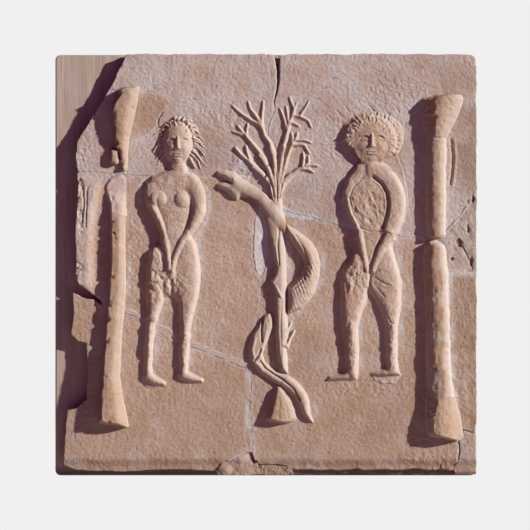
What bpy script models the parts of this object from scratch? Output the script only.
"""Clay relief wall plaque: a mended tile with a tree, a serpent, two figures and two columns.

Frame: metres, +X to the right, +Z up, the front faces -Y. The origin is the centre of the
backing board's flat back face. Outlines are written as (x, z) in millimetres, and a depth
is a height in millimetres above the board's back face.
"""
import math

import bmesh
import bpy
import numpy as np
from mathutils.geometry import delaunay_2d_cdt

MM = 0.001

# driving dimensions, millimetres
BOARD_SIDE = 270.0
BOARD_THICK = 14.0
BOARD_CORNER = 3.5
BOARD_EDGE = 1.0
FIT_GAP = 0.3            # clearance between pieces that touch
BED_THICK = 1.4          # mortar bed between board and tile
SLAB_THICK = 6.0         # clay tile, without its relief
CRACK = 0.9              # width of a plain crack
FILL_WIDTH = 3.0         # width of the plastered diagonal crack
TILE_EDGE = BOARD_SIDE / 2 - 0.5

LEFT_COLUMN_RISE = 10.0  # at its foot; the shaft leans back to half of it
RIGHT_COLUMN_RISE = 7.6
CAPITAL_RISE = 9.4
HEAD_RISE = 7.4
BODY_RISE = 6.2
LEG_RISE = 5.6
HAIR_RISE = 2.6
TRUNK_RISE = 4.2
BOUGH_RISE = 2.5
NECK_RISE = 3.2
LOOP_RISE = 5.6
COIL_RISE = 3.0

HANGER_LENGTH = 114.0
HANGER_HEIGHT = 16.0
HANGER_THICK = 1.2
HANGER_STAND = 2.6       # how far the strip's middle stands off the board
HANGER_Z = 104.0
HANGER_BEND = 44.0       # half length between the bends at its ends
HANGER_FLAT = 40.0       # half length of the raised, toothed part
HANGER_TOOTH = 5.0
HANGER_TOOTH_DEPTH = 2.2
SCREW_OFFSET = 51.0
SCREW_R = 1.6
SCREW_HEAD_R = 3.6
SCREW_HEAD_THICK = 1.8
SCREW_LENGTH = 10.0
BUMPER_R = 6.0
BUMPER_THICK = 5.2
BUMPER_INSET = 18.0

BED_BACK = BOARD_THICK + FIT_GAP
SLAB_BACK = BED_BACK + BED_THICK + FIT_GAP
GROUND = SLAB_BACK + SLAB_THICK
RELIEF_BACK = GROUND + FIT_GAP


# ---------------------------------------------------------------- helpers

def material(name, colour, roughness, metallic=0.0):
    """Principled material, made once and shared."""
    found = bpy.data.materials.get(name)
    if found:
        return found
    made = bpy.data.materials.new(name)
    made.use_nodes = True
    shader = made.node_tree.nodes["Principled BSDF"]
    shader.inputs["Base Color"].default_value = (*colour, 1.0)
    shader.inputs["Roughness"].default_value = roughness
    shader.inputs["Metallic"].default_value = metallic
    return made


def clay():
    return material("fired_clay", (0.52, 0.31, 0.22), 0.85)


def pale_clay():
    return material("worn_clay", (0.60, 0.42, 0.32), 0.85)


def plaster():
    return material("repair_plaster", (0.62, 0.56, 0.50), 0.9)


def board_wood():
    return material("board", (0.48, 0.40, 0.30), 0.7)


def steel():
    return material("zinc_plated_steel", (0.62, 0.62, 0.60), 0.35, 1.0)


def rubber():
    return material("bumper_rubber", (0.05, 0.05, 0.05), 0.8)


def add_object(name, bm, look):
    """Link a bmesh as one named object with its own material."""
    bmesh.ops.recalc_face_normals(bm, faces=bm.faces)
    mesh = bpy.data.meshes.new(name)
    bm.to_mesh(mesh)
    bm.free()
    mesh.materials.append(look)
    made = bpy.data.objects.new(name, mesh)
    bpy.context.scene.collection.objects.link(made)
    return made


def place(x, z, depth):
    """World point of an (x, z) outline point at a depth above the board's back."""
    return (x * MM, -depth * MM, z * MM)


def prism(name, outline, back, front, look):
    """Straight-sided plate over an outline."""
    bm = bmesh.new()
    rear = [bm.verts.new(place(x, z, back)) for x, z in outline]
    face = bm.faces.new(rear)
    lifted = bmesh.ops.extrude_face_region(bm, geom=[face])["geom"]
    for vert in lifted:
        if isinstance(vert, bmesh.types.BMVert):
            vert.co.y = -front * MM
    return add_object(name, bm, look)


def slab(name, outline):
    return prism(name, outline, SLAB_BACK, GROUND, clay())


def fill(name, outline, sunk=0.0):
    """Plaster that fills a gap between fragments, sunk a little below their faces."""
    return prism(name, outline, SLAB_BACK, GROUND - sunk, plaster())


def rounded(points, steps=2):
    """Closed outline through the points with round stretches between them."""
    count = len(points)
    out = []
    for i in range(count):
        a, b, c, d = (np.array(points[(i + k - 1) % count]) for k in range(4))
        for s in range(steps):
            t = s / steps
            out.append(tuple(0.5 * (2 * b + (c - a) * t + (2 * a - 5 * b + 4 * c - d) * t * t
                                    + (3 * b - a - 3 * c + d) * t ** 3)))
    return out


def ellipse(x, z, half_x, half_z, start=0.0, end=360.0, count=16):
    """Points on an ellipse, angles in degrees from +X towards +Z."""
    turn = [math.radians(start + (end - start) * i / count) for i in range(count + 1)]
    return [(x + half_x * math.cos(t), z + half_z * math.sin(t)) for t in turn]


def strip(line, width_start, width_end):
    """Outline of a tapering strip along a centre line."""
    pts = [np.array(p, dtype=float) for p in line]
    left, right = [], []
    for i, p in enumerate(pts):
        ahead = pts[min(i + 1, len(pts) - 1)] - pts[max(i - 1, 0)]
        side = np.array((-ahead[1], ahead[0])) / np.linalg.norm(ahead)
        half = 0.5 * (width_start + (width_end - width_start) * i / (len(pts) - 1))
        left.append(tuple(p + side * half))
        right.append(tuple(p - side * half))
    return left + right[::-1]


def edge_distance(points, segments):
    """Distance from each point to the nearest of the segments."""
    p = points[:, None, :]
    a = segments[None, :, 0, :]
    ab = segments[None, :, 1, :] - a
    t = np.clip(((p - a) * ab).sum(2) / np.maximum((ab ** 2).sum(2), 1e-9), 0, 1)
    return np.linalg.norm(p - a - t[..., None] * ab, axis=2).min(1)


def line_segments(points, closed=False):
    ends = points[1:] + points[:1] if closed else points[1:]
    return np.array([[a, b] for a, b in zip(points, ends)], dtype=float)


def inside(points, outline):
    """Even-odd test of points against one outline."""
    x, z = points[:, 0], points[:, 1]
    hit = np.zeros(len(points), dtype=bool)
    for (ax, az), (bx, bz) in zip(outline, outline[1:] + outline[:1]):
        crosses = (az > z) != (bz > z)
        with np.errstate(divide="ignore", invalid="ignore"):
            where = ax + (z - az) * (bx - ax) / (bz - az)
        hit ^= crosses & (x < where)
    return hit


def counter_clockwise(outline):
    twice_area = sum(ax * bz - bx * az
                     for (ax, az), (bx, bz) in zip(outline, outline[1:] + outline[:1]))
    return outline if twice_area > 0 else outline[::-1]


def subdivide(outline, step):
    """Outline with no side much longer than step."""
    out = []
    for (ax, az), (bx, bz) in zip(outline, outline[1:] + outline[:1]):
        parts = max(1, round(math.hypot(bx - ax, bz - az) / step))
        out += [(ax + (bx - ax) * k / parts, az + (bz - az) * k / parts) for k in range(parts)]
    return out


def relief(name, outlines, rise, look, rim=1.2, round_width=6.0, step=3.0, grooves=(),
           swells=(), ramp=None):
    """Modelled clay on a flat back: the union of some outlines, rounded over towards its rim.

    grooves are (line, half width, depth) cut into the front, swells are (x, z, half x, half z,
    height) added to it, and ramp is (z low, z high, share at z high), a slope along Z.
    """
    outlines = [subdivide(counter_clockwise(outline), step) for outline in outlines]
    verts, faces = [], []
    for outline in outlines:
        faces.append(list(range(len(verts), len(verts) + len(outline))))
        verts += outline
    everything = np.array(verts)
    low, high = everything.min(0), everything.max(0)
    across = np.arange(low[0] + step / 2, high[0], step)
    up = np.arange(low[1] + step / 2, high[1], step)
    grid = np.array([(x, z) for x in across for z in up])
    member = np.zeros(len(grid), dtype=bool)
    clear = np.ones(len(grid), dtype=bool)
    for outline in outlines:
        member |= inside(grid, outline)
        clear &= edge_distance(grid, line_segments(outline, True)) > 0.35 * step
    verts += [tuple(p) for p in grid[member & clear]]
    flat, _, tris, _, _, owners = delaunay_2d_cdt(verts, [], faces, 1, 1e-5, True)
    flat = np.array([tuple(v) for v in flat])
    tris = [tri for tri, owner in zip(tris, owners) if owner]
    uses = {}
    for tri in tris:
        for a, b in zip(tri, tri[1:] + tri[:1]):
            uses[frozenset((a, b))] = uses.get(frozenset((a, b)), 0) + 1
    rim_edges = [tuple(edge) for edge, times in uses.items() if times == 1]
    inward = edge_distance(flat, np.array([[flat[a], flat[b]] for a, b in rim_edges]))
    share = np.clip(inward / round_width, 0, 1)
    height = rim + (rise - rim) * np.sqrt(np.clip(1 - (1 - share) ** 2, 0, 1))
    for line, half, depth in grooves:
        away = edge_distance(flat, line_segments(list(line)))
        height -= depth * np.clip(1 - away / half, 0, 1)
    for x, z, half_x, half_z, lift in swells:
        away = ((flat[:, 0] - x) / half_x) ** 2 + ((flat[:, 1] - z) / half_z) ** 2
        height += lift * np.clip(1 - away, 0, 1)
    if ramp:
        z_low, z_high, share_high = ramp
        along = np.clip((flat[:, 1] - z_low) / (z_high - z_low), 0, 1)
        height *= 1 + (share_high - 1) * along
    height = np.where(inward < 1e-4, np.minimum(height, rim), height)
    height = GROUND + np.maximum(height, 0.5 * rim)

    bm = bmesh.new()
    used = sorted({i for tri in tris for i in tri})
    front = {i: bm.verts.new(place(*flat[i], height[i])) for i in used}
    rear = {i: bm.verts.new(place(*flat[i], RELIEF_BACK)) for i in used}
    for a, b, c in tris:
        bm.faces.new((front[a], front[b], front[c]))
        bm.faces.new((rear[c], rear[b], rear[a]))
    for a, b in rim_edges:
        bm.faces.new((front[a], front[b], rear[b], rear[a]))
    bmesh.ops.recalc_face_normals(bm, faces=bm.faces)
    back_faces = [f for f in bm.faces if f.normal.y > 0.999]
    back_verts = {v for f in back_faces for v in f.verts}
    back_edges = {e for f in back_faces for e in f.edges}
    bmesh.ops.dissolve_limit(bm, angle_limit=math.radians(1), verts=list(back_verts),
                             edges=list(back_edges))
    made = add_object(name, bm, look)
    made.data.shade_smooth()
    made.data.set_sharp_from_angle(angle=math.radians(50))
    return made


# ---------------------------------------------------------------- cracks between fragments
# Each crack is a centre line; a fragment's edge is offset from it by half the crack's width.

TOP_CRACK = [(7.2, TILE_EDGE), (8.2, 124), (7.8, 116), (7, 110), (5, 104), (6, 99), (3, 92),
             (2, 85), (2, 78), (1.5, 66), (0, 55), (-1.7, 46.5)]
TOP_CRACK_WIDTH = [3.6, 2.4, 1.6, 1.2] + [CRACK] * 8
LEFT_CRACK = [(-119.7, 60), (-110, 59.4), (-100, 59), (-88, 58), (-60, 57), (-45, 56),
              (-30, 54), (-12, 50), (-3, 46)]
DIAGONAL_CRACK = [(-110.5, -20.5), (-100, -27.5), (-90, -29), (-84, -31), (-78, -34), (-72, -38),
                  (-62, -42), (-56, -46), (-48, -50), (-40, -53), (-30, -57), (-20, -61),
                  (-11.5, -64.5)]
RIGHT_CRACK = [(2.2, 37.5), (10, 36), (15, 34), (22, 32), (30, 31), (36, 28), (45, 26),
               (55, 24), (62, 21), (72, 21), (80, 20), (92, 18), (104, 15.5)]
LOWER_CRACK = [(-2, -9.5), (-3, -25), (-6.5, -43), (-10.2, -60), (-9, -72), (-9.4, -85),
               (-9, -100), (-8, -117.5)]


def beside(line, across=0.0, along=0.0):
    """Crack line moved by a distance along X and along Z."""
    return [(x + across, z + along) for x, z in line]


def top_crack_side(sign):
    return [(x + sign * w / 2, z) for (x, z), w in zip(TOP_CRACK, TOP_CRACK_WIDTH)]


def make_fragments():
    """The clay tile's broken pieces, joined along the cracks."""
    half = CRACK / 2
    beam = FILL_WIDTH / 2 + half
    patch_hole = [(-89.5, 58.6), (-88.9, 78), (-76.3, 83.4), (-68.4, 88.6), (-68.2, 93),
                  (-65.4, 98), (-60.2, 104.5), (-65.8, 109.7), (-81.5, 111.8), (-85.2, 108),
                  (-91, 95), (-90.3, 78), (-90.6, 58.7)]
    left_edge = [(-119.7, 60.6), (-121, 70), (-120, 79), (-113, 90), (-98, 115), (-88.5, TILE_EDGE)]
    slab("slab_top_left", left_edge + top_crack_side(-1)
         + beside(LEFT_CRACK, along=half)[:3:-1] + patch_hole + beside(LEFT_CRACK, along=half)[2::-1])
    slab("slab_patch", [(-81.2, 111), (-66, 109), (-61.2, 104.5), (-66.2, 98), (-69, 93),
                        (-69.2, 89), (-76.6, 84.2), (-88.1, 79.6), (-89.9, 95), (-84.4, 107.6)])
    slab("slab_mid_left", [(-119.5, 50), (-120, 40), (-121, 25), (-120.5, 5), (-121, -3),
                           (-120.5, -9), (-119, -12), (-112, -17)]
         + beside(DIAGONAL_CRACK, along=beam)
         + beside(LOWER_CRACK, -half)[3::-1]
         + [(-6.8, -3), (-7.8, 5), (-8, 16), (-7.3, 28), (-5.3, 38)]
         + beside(LEFT_CRACK, along=-half)[::-1])
    slab("slab_bottom_left", beside(DIAGONAL_CRACK, along=-beam)[::-1]
         + [(-115, -22), (-123, -18.5), (-122, -30), (-124, -44), (-120, -48), (-114, -49.5),
            (-113, -70), (-114, -86), (-121, -92), (-126, -93), (-128, -110), (-128.5, -128),
            (-122, -130.5), (-90, -131.5), (-60, -130), (-32, -131), (-27.8, -126), (-20, -121),
            (-12, -118)]
         + beside(LOWER_CRACK, -half)[:3:-1])
    right = top_crack_side(1)
    slab("slab_top_right", right + [(0.4, 38.3)] + beside(RIGHT_CRACK, along=half)
         + [(115.4, 22.8), (125.4, 33.8), (TILE_EDGE, 47.8), (TILE_EDGE, 127),
            (131.5, 129), (129, TILE_EDGE)])
    slab("slab_lower_right", beside(RIGHT_CRACK, along=-half)
         + [(106.6, 13.4), (109.6, 4), (112.6, -4.6), (TILE_EDGE, -4.6), (TILE_EDGE, -107.4),
            (126, -104.6), (123.3, -113), (123.3, -120), (122.4, -125.4), (119.6, -128),
            (120.4, -133), (95, -134), (60, -133), (17, -134), (16, -129), (9, -127), (-4.2, -127)]
         + beside(LOWER_CRACK, half)[::-1]
         + [(1.2, -3), (3.2, 6), (3.3, 16), (2.7, 28)])
    slab("slab_corner_right", [(124.5, -113), (126.8, -106), (TILE_EDGE, -108.6),
                               (TILE_EDGE, -133.5), (121.5, -133.5), (120.9, -128.6),
                               (123.5, -126), (124.5, -120)])


def make_fills():
    """Plaster and mortar that fill the wider gaps."""
    half = FILL_WIDTH / 2
    fill("fill_diagonal_crack", beside(DIAGONAL_CRACK, along=half)[1:-1] + [(-12.2, -62.4)]
         + [(-12.2, -65.4)] + beside(DIAGONAL_CRACK, along=-half)[-2:0:-1], 0.3)
    fill("fill_trunk_crack", [(-2.6, 44.6), (-4.6, 38), (-6.6, 28), (-7.2, 16), (-7, 5),
                              (-6, -3), (-2.7, -8.6), (-1.6, -8.6), (0.4, -3), (2.4, 6), (2.5, 16),
                              (1.9, 28), (-0.2, 37.6), (-1.6, 44.6)], 0.2)
    fill("fill_bottom_centre", [(-31, -131.6), (-27.2, -126.6), (-20, -121.8), (-12, -118.8),
                                (-8.6, -118.4), (-7.4, -124), (-5.2, -127.8), (-5, -133.8),
                                (-18, -134.2), (-30, -133.6)], 0.8)
    fill("fill_bottom_rubble", [(-4.2, -127.7), (9, -127.7), (15.2, -129.6), (16, -133.6),
                                (4, -134.2), (-4.2, -133.4)], 2.5)
    fill("fill_right_edge", [(108.3, 14.9), (115.8, 21.8), (125.8, 32.8), (TILE_EDGE, 46.6),
                             (TILE_EDGE, -3.9), (113.2, -3.9), (110.2, 4.2)], 0.6)
    relief("left_column_fill",
           [[(-102.6, 50), (-98, 56.6), (-92, 57.6), (-89.6, 55), (-89.4, 31.8), (-91, 31.4),
             (-98.8, 33.6), (-99.6, 40), (-101.6, 46)]],
           0.6 * LEFT_COLUMN_RISE, plaster(), rim=0.9, round_width=6, ramp=(34, 56, 0.2))


# ---------------------------------------------------------------- columns

def make_left_column():
    lean = (-100, 20, 0.52)
    relief("left_column_capital",
           [[(-80.9, 113.6), (-82, 105), (-84, 97), (-86, 88), (-88, 78), (-89, 61), (-91.4, 61),
             (-92.6, 66), (-93.4, 74), (-96.5, 74.4), (-96.2, 86), (-98, 91), (-98, 101),
             (-95, 106), (-92, 110), (-97.5, 113)]],
           CAPITAL_RISE, pale_clay(), rim=3.0, round_width=9)
    relief("left_column_chip",
           [[(-99, 73.2), (-94.3, 73.6), (-93.6, 66), (-95.5, 64.6), (-99, 65.6)]],
           5.0, clay(), rim=2.5, round_width=2, step=2.5)
    relief("left_column_shaft",
           [[(-90.2, 30.8), (-90, 0), (-90, -20), (-92, -40), (-93.3, -60), (-93.3, -72),
             (-92.2, -82), (-105, -82), (-104.5, -72), (-103.5, -58), (-101.3, -28), (-100, -13),
             (-99, 0), (-98.9, 33), (-91, 30.8)]],
           LEFT_COLUMN_RISE, pale_clay(), rim=3.0, round_width=6, ramp=lean)
    relief("left_column_base",
           [[(-92.1, -82.6), (-90.5, -90), (-89, -98), (-88, -103), (-97, -101.6), (-106, -101),
             (-105.6, -92), (-105.1, -82.6)]],
           LEFT_COLUMN_RISE, pale_clay(), rim=3.0, round_width=8, ramp=lean)


def make_right_column():
    relief("right_column_capital",
           [[(98, 106.6), (104, 108.2), (112, 108.6), (120, 109), (127, 108.4), (125.4, 102),
             (122, 94), (118, 86.6), (115.8, 81.6), (103.2, 81.6), (101.4, 90), (99, 99)]],
           CAPITAL_RISE, clay(), rim=2.0, round_width=11)
    relief("right_column_upper_shaft",
           [[(103.2, 80.8), (115.6, 80.8), (115.2, 60), (115, 40), (115, 17.4), (104, 17),
             (103.2, 30), (102.8, 48), (102.8, 64)]],
           RIGHT_COLUMN_RISE, pale_clay(), rim=1.4, round_width=6.2)
    relief("right_column_lower_shaft",
           [[(102.4, 15.2), (108, 16), (114.6, 12), (116.6, -5), (117.4, -30), (118, -60),
             (119.4, -76), (120.6, -84), (103.6, -84), (103, -60), (102.8, -30), (102, -10),
             (101.4, 4)]],
           RIGHT_COLUMN_RISE, pale_clay(), rim=1.4, round_width=7.6)
    relief("right_column_base",
           [[(103.3, -84.6), (121, -84.6), (124, -95), (125.5, -103), (126, -110), (123, -112),
             (115, -110.6), (105.4, -109.4), (103, -104), (102.6, -95)]],
           1.2 * RIGHT_COLUMN_RISE, pale_clay(), rim=2.0, round_width=9)


# ---------------------------------------------------------------- the two figures

WOMAN_FACE = (-56, 78, 9.5, 14)
MAN_FACE = (68, 79.5, 11.5, 14.5)


def make_woman():
    x, z, half_x, half_z = WOMAN_FACE
    inner = ellipse(x, z, half_x + 0.6, half_z + 0.6, -58, 240, 18)
    relief("woman_hair",
           [inner + [(-70, 65), (-74.5, 71), (-74, 79), (-71, 87), (-65, 93), (-57, 96),
                     (-49, 94.5), (-42.5, 87), (-39, 78), (-37, 68), (-38.5, 62.5), (-44, 62.5)]],
           HAIR_RISE, pale_clay(), rim=0.9, round_width=4, step=2.6)
    relief("woman_head",
           [ellipse(x, z, half_x, half_z, -68, 248, 20)
            + [(-60.2, 57.8), (-56, 57.4), (-51.6, 57.2)]],
           HEAD_RISE, clay(), rim=1.6, round_width=8, step=2.4,
           swells=[(-57, 76, 2.4, 4.0, 1.4), (-57, 69.5, 3.0, 1.4, 0.6), (-57, 85, 7, 2.6, 0.6)],
           grooves=[(((-62, 80), (-59.5, 80)), 2.2, 1.0), (((-54, 80), (-51, 80)), 2.2, 1.0),
                    (((-61, 61.5), (-51, 61.5)), 4, 2.6)])
    relief("woman_body",
           [rounded([(-71.4, 56.6), (-76.4, 51), (-76.8, 44), (-74.8, 37), (-70, 28), (-66.4, 19),
                     (-67, 14), (-71, 13), (-73.5, 10), (-75.2, 0), (-76, -12), (-75.6, -26),
                     (-74.6, -33.8)], 1)
            + [(-70.4, -36), (-68, -30), (-66, -24), (-63.5, -19.5), (-58, -19.5), (-55, -24),
               (-54.3, -38), (-54.4, -44.4), (-48.6, -47.6), (-48.5, -42), (-47, -33),
               (-45, -26), (-43, -18), (-42, -10), (-42, 0), (-43.5, 8), (-45, 14), (-48, 18.8),
               (-45.8, 22), (-41, 28), (-38.5, 34), (-38.5, 42), (-40.4, 50), (-44.4, 55),
               (-52, 55.6)]],
           BODY_RISE, clay(), rim=1.5, round_width=7, step=3.0,
           swells=[(-68.5, 43, 5, 5, 1.4), (-53, 42, 5, 5, 1.2), (-60, 8, 4.5, 9, 0.8)],
           grooves=[(((-47, 38), (-52, 28), (-57, 20), (-58.5, 3)), 2.6, 2.6),
                    (((-68, 38), (-63.5, 26), (-60.5, 12), (-60, 0)), 2.2, 1.8),
                    (((-60, -3), (-59, -19)), 3.2, 2.6),
                    (((-71, 12), (-66, 9), (-64.5, -2)), 2.4, 1.6)])
    relief("woman_left_shin",
           [[(-75.4, -37.6), (-71, -40.3), (-72.4, -50), (-73, -66), (-70, -70.5), (-64, -75.2),
             (-64.2, -77), (-76, -77.4), (-78.6, -74), (-77.6, -66), (-77.2, -50)]],
           LEG_RISE, clay(), rim=1.4, round_width=2.8, step=2.4)
    relief("woman_right_shin",
           [[(-54.8, -48.4), (-48.7, -51.4), (-49.4, -62), (-49.4, -68), (-40, -73.2),
             (-40.4, -74.8), (-54, -75), (-56, -72), (-54.6, -64), (-55.4, -56)]],
           LEG_RISE, clay(), rim=1.4, round_width=2.8, step=2.4)


def make_man():
    x, z, half_x, half_z = MAN_FACE
    inner = ellipse(x, z, half_x + 0.6, half_z + 0.6, -40, 196, 16)
    relief("man_hair",
           [inner + [(50.5, 79), (49.6, 84), (51, 90), (56, 94.2), (63, 97), (72, 97.4),
                     (80, 95), (86, 90), (88.3, 84), (87, 77), (84, 71.5)]],
           HAIR_RISE + 1.4, pale_clay(), rim=1.2, round_width=4, step=2.6)
    relief("man_head",
           [ellipse(x, z, half_x, half_z, -64, 238, 20)
            + [(62.6, 66), (63.4, 60.2), (69.6, 60.2), (71, 65.6)]],
           HEAD_RISE, clay(), rim=1.6, round_width=9, step=2.4,
           swells=[(67, 77.5, 2.6, 4.2, 1.4), (66.6, 70.6, 3.2, 1.5, 0.6), (67.5, 87, 8, 2.6, 0.5)],
           grooves=[(((60, 81), (63.5, 81)), 2.3, 1.0), (((71, 81), (75, 81)), 2.3, 1.0),
                    (((60, 65), (72, 65)), 3, 2.4)])
    relief("man_torso",
           [rounded([(58.6, 58), (53, 52.6), (49.6, 47), (49, 42), (50.8, 36), (54.4, 28)], 1)
            + [(57.4, 24.2), (62, 22.2), (72, 22.2), (80, 21), (85, 20.4), (87.2, 27),
               (88.6, 32), (89.5, 38), (89, 44), (87, 51), (83, 58), (78, 63.4), (73.4, 66),
               (71.6, 65.2), (70.4, 59.4), (63, 59.2)]],
           BODY_RISE, clay(), rim=1.6, round_width=7, step=3.0,
           swells=[(84, 42, 6, 18, 0.8)],
           grooves=[(((71, 54.5), (75.5, 51), (78.6, 46), (79.4, 40), (79, 33), (76, 24)), 2.4, 3.4),
                    (((54.6, 46), (54, 40), (57, 33), (60, 25)), 2.2, 2.2)])
    relief("man_legs",
           [[(59.5, 21.4), (62, 20), (72, 20), (80, 18.8), (82, 18.8), (80.6, 12), (83, 3),
             (86.5, -10), (86.5, -20), (86, -28), (85, -34), (84, -40), (84, -60), (85.4, -70),
             (78.4, -70.4), (77.4, -60), (76.6, -36), (74, -28), (69.5, -20), (66, -15.5),
             (65, -18), (64, -24), (60.6, -32), (58.6, -40), (59.5, -52), (59, -66), (58.4, -73),
             (40.5, -73.6), (40.4, -71.4), (49, -69.4), (51.4, -66), (51, -50), (49, -42),
             (48.4, -28), (48.4, -10), (50.6, -1), (54.6, 3), (57, 11), (57.6, 19)]],
           LEG_RISE, clay(), rim=1.5, round_width=5, step=3.0,
           swells=[(63, 6, 4, 12, 0.8)],
           grooves=[(((75, 20), (70.4, 12), (67, 2), (66.5, -14)), 2.6, 3.0),
                    (((57.6, 0), (60.8, -4)), 2.4, 1.8)])


# ---------------------------------------------------------------- tree

def make_trunk():
    relief("tree_root",
           [[(7, -77.6), (5.2, -86), (3.4, -94), (1, -99.6), (12, -101), (20.6, -99.4),
             (19, -92), (14.6, -84), (10.6, -77.9)]],
           6.0, clay(), rim=1.4, round_width=7.5, step=2.6)
    relief("tree_trunk",
           [[(2.2, 18.8), (4.6, 8), (6.6, 0), (5.6, -6), (3.2, -9.8), (5.4, -14.6), (6.6, -28),
             (7, -50), (8.6, -62), (10, -67.2), (14.2, -69.4), (13.6, -60), (13, -52),
             (14.5, -45), (13.4, -30), (13, -5), (12.4, 10), (11.6, 18.8)],
            strip([(13.2, -53), (15.6, -47), (18.6, -42)], 2.4, 1.0),
            strip([(13.2, -44), (14.8, -40), (16.6, -37)], 2.0, 1.0)],
           TRUNK_RISE, clay(), rim=1.2, round_width=3.4, step=2.8)
    relief("tree_fork",
           [strip([(7, 38.8), (7, 47), (6.6, 57)], 6.4, 6.4),
            strip([(5.8, 51), (3.3, 55), (0.9, 56.4)], 3.6, 3.2),
            strip([(5, 53.6), (3.2, 58), (1.6, 62.8)], 3.4, 2.8),
            strip([(6.2, 56), (6.1, 64.4)], 2.8, 2.6),
            strip([(8.6, 55), (9.3, 64.6)], 3.0, 2.8),
            strip([(9.4, 55), (11.1, 60.2)], 3.0, 2.6),
            strip([(9, 47), (12.4, 52.8)], 3.6, 3.0)],
           1.2 * BOUGH_RISE, clay(), rim=1.0, round_width=2.4, step=2.4)


def bough(name, *strips):
    """A bough and its twigs, from (line, width at the start, width at the tip)."""
    relief(name, [strip(*part) for part in strips], BOUGH_RISE, pale_clay(), rim=0.8,
           round_width=1.5, step=2.4)


def make_boughs():
    bough("bough_low_left",
          ([(-0.6, 57.4), (-5.4, 61.6), (-10.5, 66.2), (-15.6, 70.8), (-19.6, 75.4)], 3.2, 1.4),
          ([(-9.5, 66.6), (-11.5, 71.3), (-12.6, 76.6)], 2.2, 1.0))
    bough("bough_mid_left",
          ([(0.9, 64.2), (-0.8, 68.2), (-4.9, 73.8), (-9.5, 79.4), (-14.5, 85), (-18, 89.4)],
           2.8, 1.2),
          ([(-14.6, 83.6), (-18.1, 84.7), (-21.4, 85.4)], 1.8, 0.9),
          ([(-12.2, 82.6), (-12, 86.4), (-11.4, 90.8)], 1.6, 0.9))
    bough("bough_top_left",
          ([(6.1, 65.4), (5.5, 71.3), (3, 78), (-0.6, 83), (-2, 87.6), (-2.2, 94.7), (-1.8, 99.8),
            (-1.4, 105.2)], 2.8, 1.1),
          ([(-1.9, 88), (-4.4, 90.4), (-9.5, 93), (-15.6, 97.2), (-21.4, 102.2)], 2.6, 1.0),
          ([(-2.4, 90), (-5.9, 95.2), (-9.4, 99.8), (-11, 105)], 2.6, 1.0))
    bough("bough_mid_right",
          ([(11.9, 61.4), (13.4, 68), (15.6, 74), (17.8, 78.4), (19.8, 81.6), (20.6, 84.6)], 2.4, 1.4),
          ([(16.6, 77), (17.2, 81.6), (16.6, 85)], 1.8, 1.0),
          ([(18.6, 79.8), (25.2, 80.1), (29.4, 78.4)], 1.8, 0.9),
          ([(17, 76.8), (25, 77), (28.2, 71.4)], 1.8, 0.9))
    bough("bough_top_right",
          ([(9.4, 65.6), (10, 71.3), (12, 78.4), (14, 85.5), (15.5, 92.1)], 2.8, 2.4),
          ([(13.4, 87), (12.2, 92.7), (10.7, 96.7), (9.2, 100.4)], 2.0, 0.9),
          ([(14.6, 90.4), (13.9, 97.7), (13, 102)], 1.8, 0.9),
          ([(15.4, 91), (17.6, 96.7), (18.2, 100.3), (17, 103.3), (15.4, 107.6)], 2.2, 1.0),
          ([(17.9, 98.4), (20.2, 104)], 1.6, 0.8),
          ([(15, 91.4), (18.6, 90.6), (21.8, 89)], 2.0, 1.0),
          ([(17, 95.4), (21.1, 95.6), (25, 94), (27.4, 92.6), (29.6, 88)], 1.8, 0.9),
          ([(22, 95.4), (25.4, 100.4), (27.8, 104.8)], 1.6, 0.8))
    bough("bough_low_right",
          ([(12.9, 53.6), (17, 58), (21, 61.1), (25, 63.1)], 3.0, 2.0),
          ([(23.6, 62), (24.4, 68.2), (24, 72)], 1.8, 0.9),
          ([(25, 62.6), (27.7, 66.2), (27.4, 70)], 1.6, 0.9),
          ([(24.6, 63), (30.3, 64.1), (34, 63.4)], 1.8, 0.9),
          ([(22.6, 61.6), (27.7, 61.3), (31, 59.4)], 1.7, 0.9))


# ---------------------------------------------------------------- serpent

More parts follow.
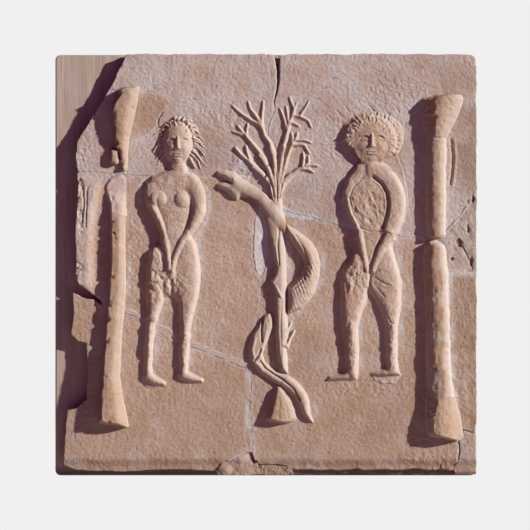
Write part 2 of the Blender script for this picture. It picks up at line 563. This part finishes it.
def make_serpent():
    relief("serpent_head",
           [[(-15.6, 55.8), (-20, 59.4), (-25.5, 60.6), (-31, 59.8), (-31, 57.6), (-27.5, 56.6),
             (-23, 52.8), (-27.5, 52.6), (-31, 51.8), (-29.5, 49.8), (-25, 47.6), (-21.5, 44),
             (-18.6, 41.6), (-15.6, 44)]],
           1.3 * NECK_RISE, clay(), rim=1.2, round_width=5, step=2.4,
           swells=[(-19.5, 55.6, 2.2, 2.0, 0.8)])
    relief("serpent_neck",
           [[(-15, 55.4), (-10.5, 52), (-4.4, 48.6), (0.6, 44.2), (3.2, 40.4), (3.3, 38.2),
             (10.6, 38.2), (11.4, 33), (12.6, 27), (12.2, 22.4), (11.8, 19.5), (1.9, 19.5),
             (0.2, 26), (-0.8, 32), (-2.4, 37), (-5, 41), (-9.4, 44), (-15, 44.4)]],
           NECK_RISE, clay(), rim=1.2, round_width=5.5, step=2.8)
    relief("serpent_loop_upper",
           [[(13.5, 26), (17.4, 23.8), (23.4, 19.6), (29, 15), (33, 9), (34.8, 1.2), (25.2, 1.2),
             (24.2, 4.6), (21, 9), (17, 15), (12.8, 21.4)]],
           LOOP_RISE, clay(), rim=1.4, round_width=5, step=2.6)
    relief("serpent_loop_lower",
           [[(25.2, 0.6), (34.8, 0.6), (34.2, -7), (31.4, -17), (27.4, -23), (22.6, -27.4),
             (14.2, -31.6), (14.3, -14.6), (19, -10.4), (23.2, -6.6), (24.8, -2.6)]],
           LOOP_RISE, clay(), rim=1.4, round_width=5, step=2.6)
    relief("serpent_coil",
           [[(2.6, -30.4), (-1.4, -33), (-3.8, -37.5), (-8, -44), (-10.4, -51), (-10, -58),
             (-7.6, -64), (-2.6, -69), (3.6, -73.4), (8.4, -76.2), (14, -70.6), (9, -69.2),
             (3.4, -66.2), (-0.6, -62), (-2.4, -57.6), (-0.6, -52), (2, -46), (4.6, -39),
             (4.6, -33.6)]],
           COIL_RISE, clay(), rim=1.2, round_width=3.0, step=2.4,
           grooves=[(((1.4, -34), (-2.4, -41), (-5, -49), (-6.2, -57), (-3, -63.4), (3, -69),
                      (10.4, -73.2)), 1.4, 1.1)])
    relief("serpent_tail",
           [[(14.6, -71), (20, -74.6), (24.8, -80.4), (27.6, -87), (28.4, -94), (30.4, -100.6),
             (28.2, -99.4), (24.4, -95.6), (22.6, -90), (19.6, -84.4), (15, -79.6),
             (9.2, -76.5)]],
           1.2 * COIL_RISE, clay(), rim=1.2, round_width=3.0, step=2.4,
           grooves=[(((12.6, -74.4), (18.6, -79.4), (23, -86)), 1.4, 1.2)])


# ---------------------------------------------------------------- board and hardware

def cylinder(radius, start, end, x, z, sides=16):
    """Bmesh cylinder along Y between two depths behind the board's back, in millimetres."""
    bm = bmesh.new()
    turns = [2 * math.pi * i / sides for i in range(sides)]
    ring = [bm.verts.new(((x + radius * math.cos(t)) * MM, start * MM,
                          (z + radius * math.sin(t)) * MM)) for t in turns]
    face = bm.faces.new(ring)
    for vert in bmesh.ops.extrude_face_region(bm, geom=[face])["geom"]:
        if isinstance(vert, bmesh.types.BMVert):
            vert.co.y = end * MM
    return bm


def cut(target, name, radius, start, end, x, z):
    """Round hole along Y by a Boolean difference."""
    cutter = add_object(name, cylinder(radius, start, end, x, z), steel())
    cutter.hide_render = True
    cutter.display_type = "WIRE"
    hole = target.modifiers.new(name, "BOOLEAN")
    hole.operation = "DIFFERENCE"
    hole.object = cutter
    hole.solver = "EXACT"


def make_board():
    half = BOARD_SIDE / 2
    r = BOARD_CORNER
    corners = []
    for i, (sx, sz) in enumerate(((1, 1), (-1, 1), (-1, -1), (1, -1))):
        corners += ellipse(sx * (half - r), sz * (half - r), r, r, 90 * i, 90 * i + 90, 4)
    board = prism("backing_board", corners, 0, BOARD_THICK, board_wood())
    bevel = board.modifiers.new("softened_edges", "BEVEL")
    bevel.width = BOARD_EDGE * MM
    bevel.segments = 2
    bevel.limit_method = "ANGLE"
    bevel.angle_limit = math.radians(60)
    for side in (-1, 1):
        cut(board, f"pilot_hole_cutter_{side}", SCREW_R + FIT_GAP, -SCREW_LENGTH, 2,
            side * SCREW_OFFSET, HANGER_Z)
    prism("mortar_bed", [(-110, 60), (-112, 78), (-90, 112), (-80, 128), (132, 130), (132, -130),
                         (-110, -127), (-108, -52), (-108, -20), (-115, -8), (-115, 50)],
          BED_BACK, BED_BACK + BED_THICK, plaster())


def make_hanger():
    """Sawtooth strip that stands off the board between its two screwed ends."""
    end = HANGER_LENGTH / 2
    stations = [(-end, FIT_GAP, 0), (-HANGER_BEND, FIT_GAP, 0)]
    count = int(2 * HANGER_FLAT / HANGER_TOOTH)
    for i in range(2 * count + 1):
        x = -HANGER_FLAT + i * HANGER_TOOTH / 2
        stations.append((x, HANGER_STAND, 0 if i % 2 == 0 else 1))
    stations += [(HANGER_BEND, FIT_GAP, 0), (end, FIT_GAP, 0)]
    bm = bmesh.new()
    rings = []
    for x, stand, tooth in stations:
        low = HANGER_Z - HANGER_HEIGHT / 2 + tooth * HANGER_TOOTH_DEPTH
        high = HANGER_Z + HANGER_HEIGHT / 2
        corners = ((stand, low), (stand + HANGER_THICK, low), (stand + HANGER_THICK, high),
                   (stand, high))
        rings.append([bm.verts.new((x * MM, y * MM, z * MM)) for y, z in corners])
    for a, b in zip(rings, rings[1:]):
        for k in range(4):
            bm.faces.new((a[k], a[(k + 1) % 4], b[(k + 1) % 4], b[k]))
    bm.faces.new(rings[0])
    bm.faces.new(rings[-1][::-1])
    strip_object = add_object("sawtooth_hanger", bm, steel())
    for side in (-1, 1):
        cut(strip_object, f"hanger_hole_cutter_{side}", SCREW_R + FIT_GAP, -1, 3,
            side * SCREW_OFFSET, HANGER_Z)


def spun(name, profile, look, x, z):
    """Round piece turned about Y from (radius, depth) pairs and centred on (x, z)."""
    bm = bmesh.new()
    verts = [bm.verts.new((r * MM, y * MM, 0)) for r, y in profile]
    edges = [bm.edges.new(pair) for pair in zip(verts, verts[1:])]
    bmesh.ops.spin(bm, geom=verts + edges, cent=(0, 0, 0), axis=(0, 1, 0),
                   angle=2 * math.pi, steps=16, use_merge=True)
    bmesh.ops.remove_doubles(bm, verts=bm.verts, dist=1e-6)
    made = add_object(name, bm, look)
    made.location = (x * MM, 0, z * MM)


def make_screws():
    """Pan-head screws: a round head on a shank that sits in the board's pilot hole."""
    head_back = FIT_GAP + HANGER_THICK + FIT_GAP
    head_front = head_back + SCREW_HEAD_THICK
    profile = [(0.0, -SCREW_LENGTH + 1.0), (SCREW_R, -SCREW_LENGTH + 2.6), (SCREW_R, head_back),
               (SCREW_HEAD_R, head_back), (SCREW_HEAD_R, head_back + 0.7 * SCREW_HEAD_THICK),
               (0.6 * SCREW_HEAD_R, head_front), (0.0, head_front)]
    for side, word in ((-1, "left"), (1, "right")):
        spun(f"hanger_screw_{word}", profile, steel(), side * SCREW_OFFSET, HANGER_Z)


def make_bumpers():
    """Soft feet that keep the board clear of the wall, as domes of decreasing radius."""
    profile = [(0.0, FIT_GAP), (BUMPER_R, FIT_GAP), (BUMPER_R, 0.55 * BUMPER_THICK),
               (0.85 * BUMPER_R, 0.85 * BUMPER_THICK), (0.6 * BUMPER_R, BUMPER_THICK),
               (0.0, BUMPER_THICK)]
    place_at = BOARD_SIDE / 2 - BUMPER_INSET
    for sx, side in ((-1, "left"), (1, "right")):
        for sz, level in ((-1, "bottom"), (1, "top")):
            spun(f"bumper_{level}_{side}", profile, rubber(), sx * place_at, sz * place_at)


def main():
    for old in list(bpy.data.objects):
        bpy.data.objects.remove(old, do_unlink=True)
    make_board()
    make_fragments()
    make_fills()
    make_left_column()
    make_right_column()
    make_woman()
    make_man()
    make_trunk()
    make_boughs()
    make_serpent()
    make_hanger()
    make_screws()
    make_bumpers()


main()
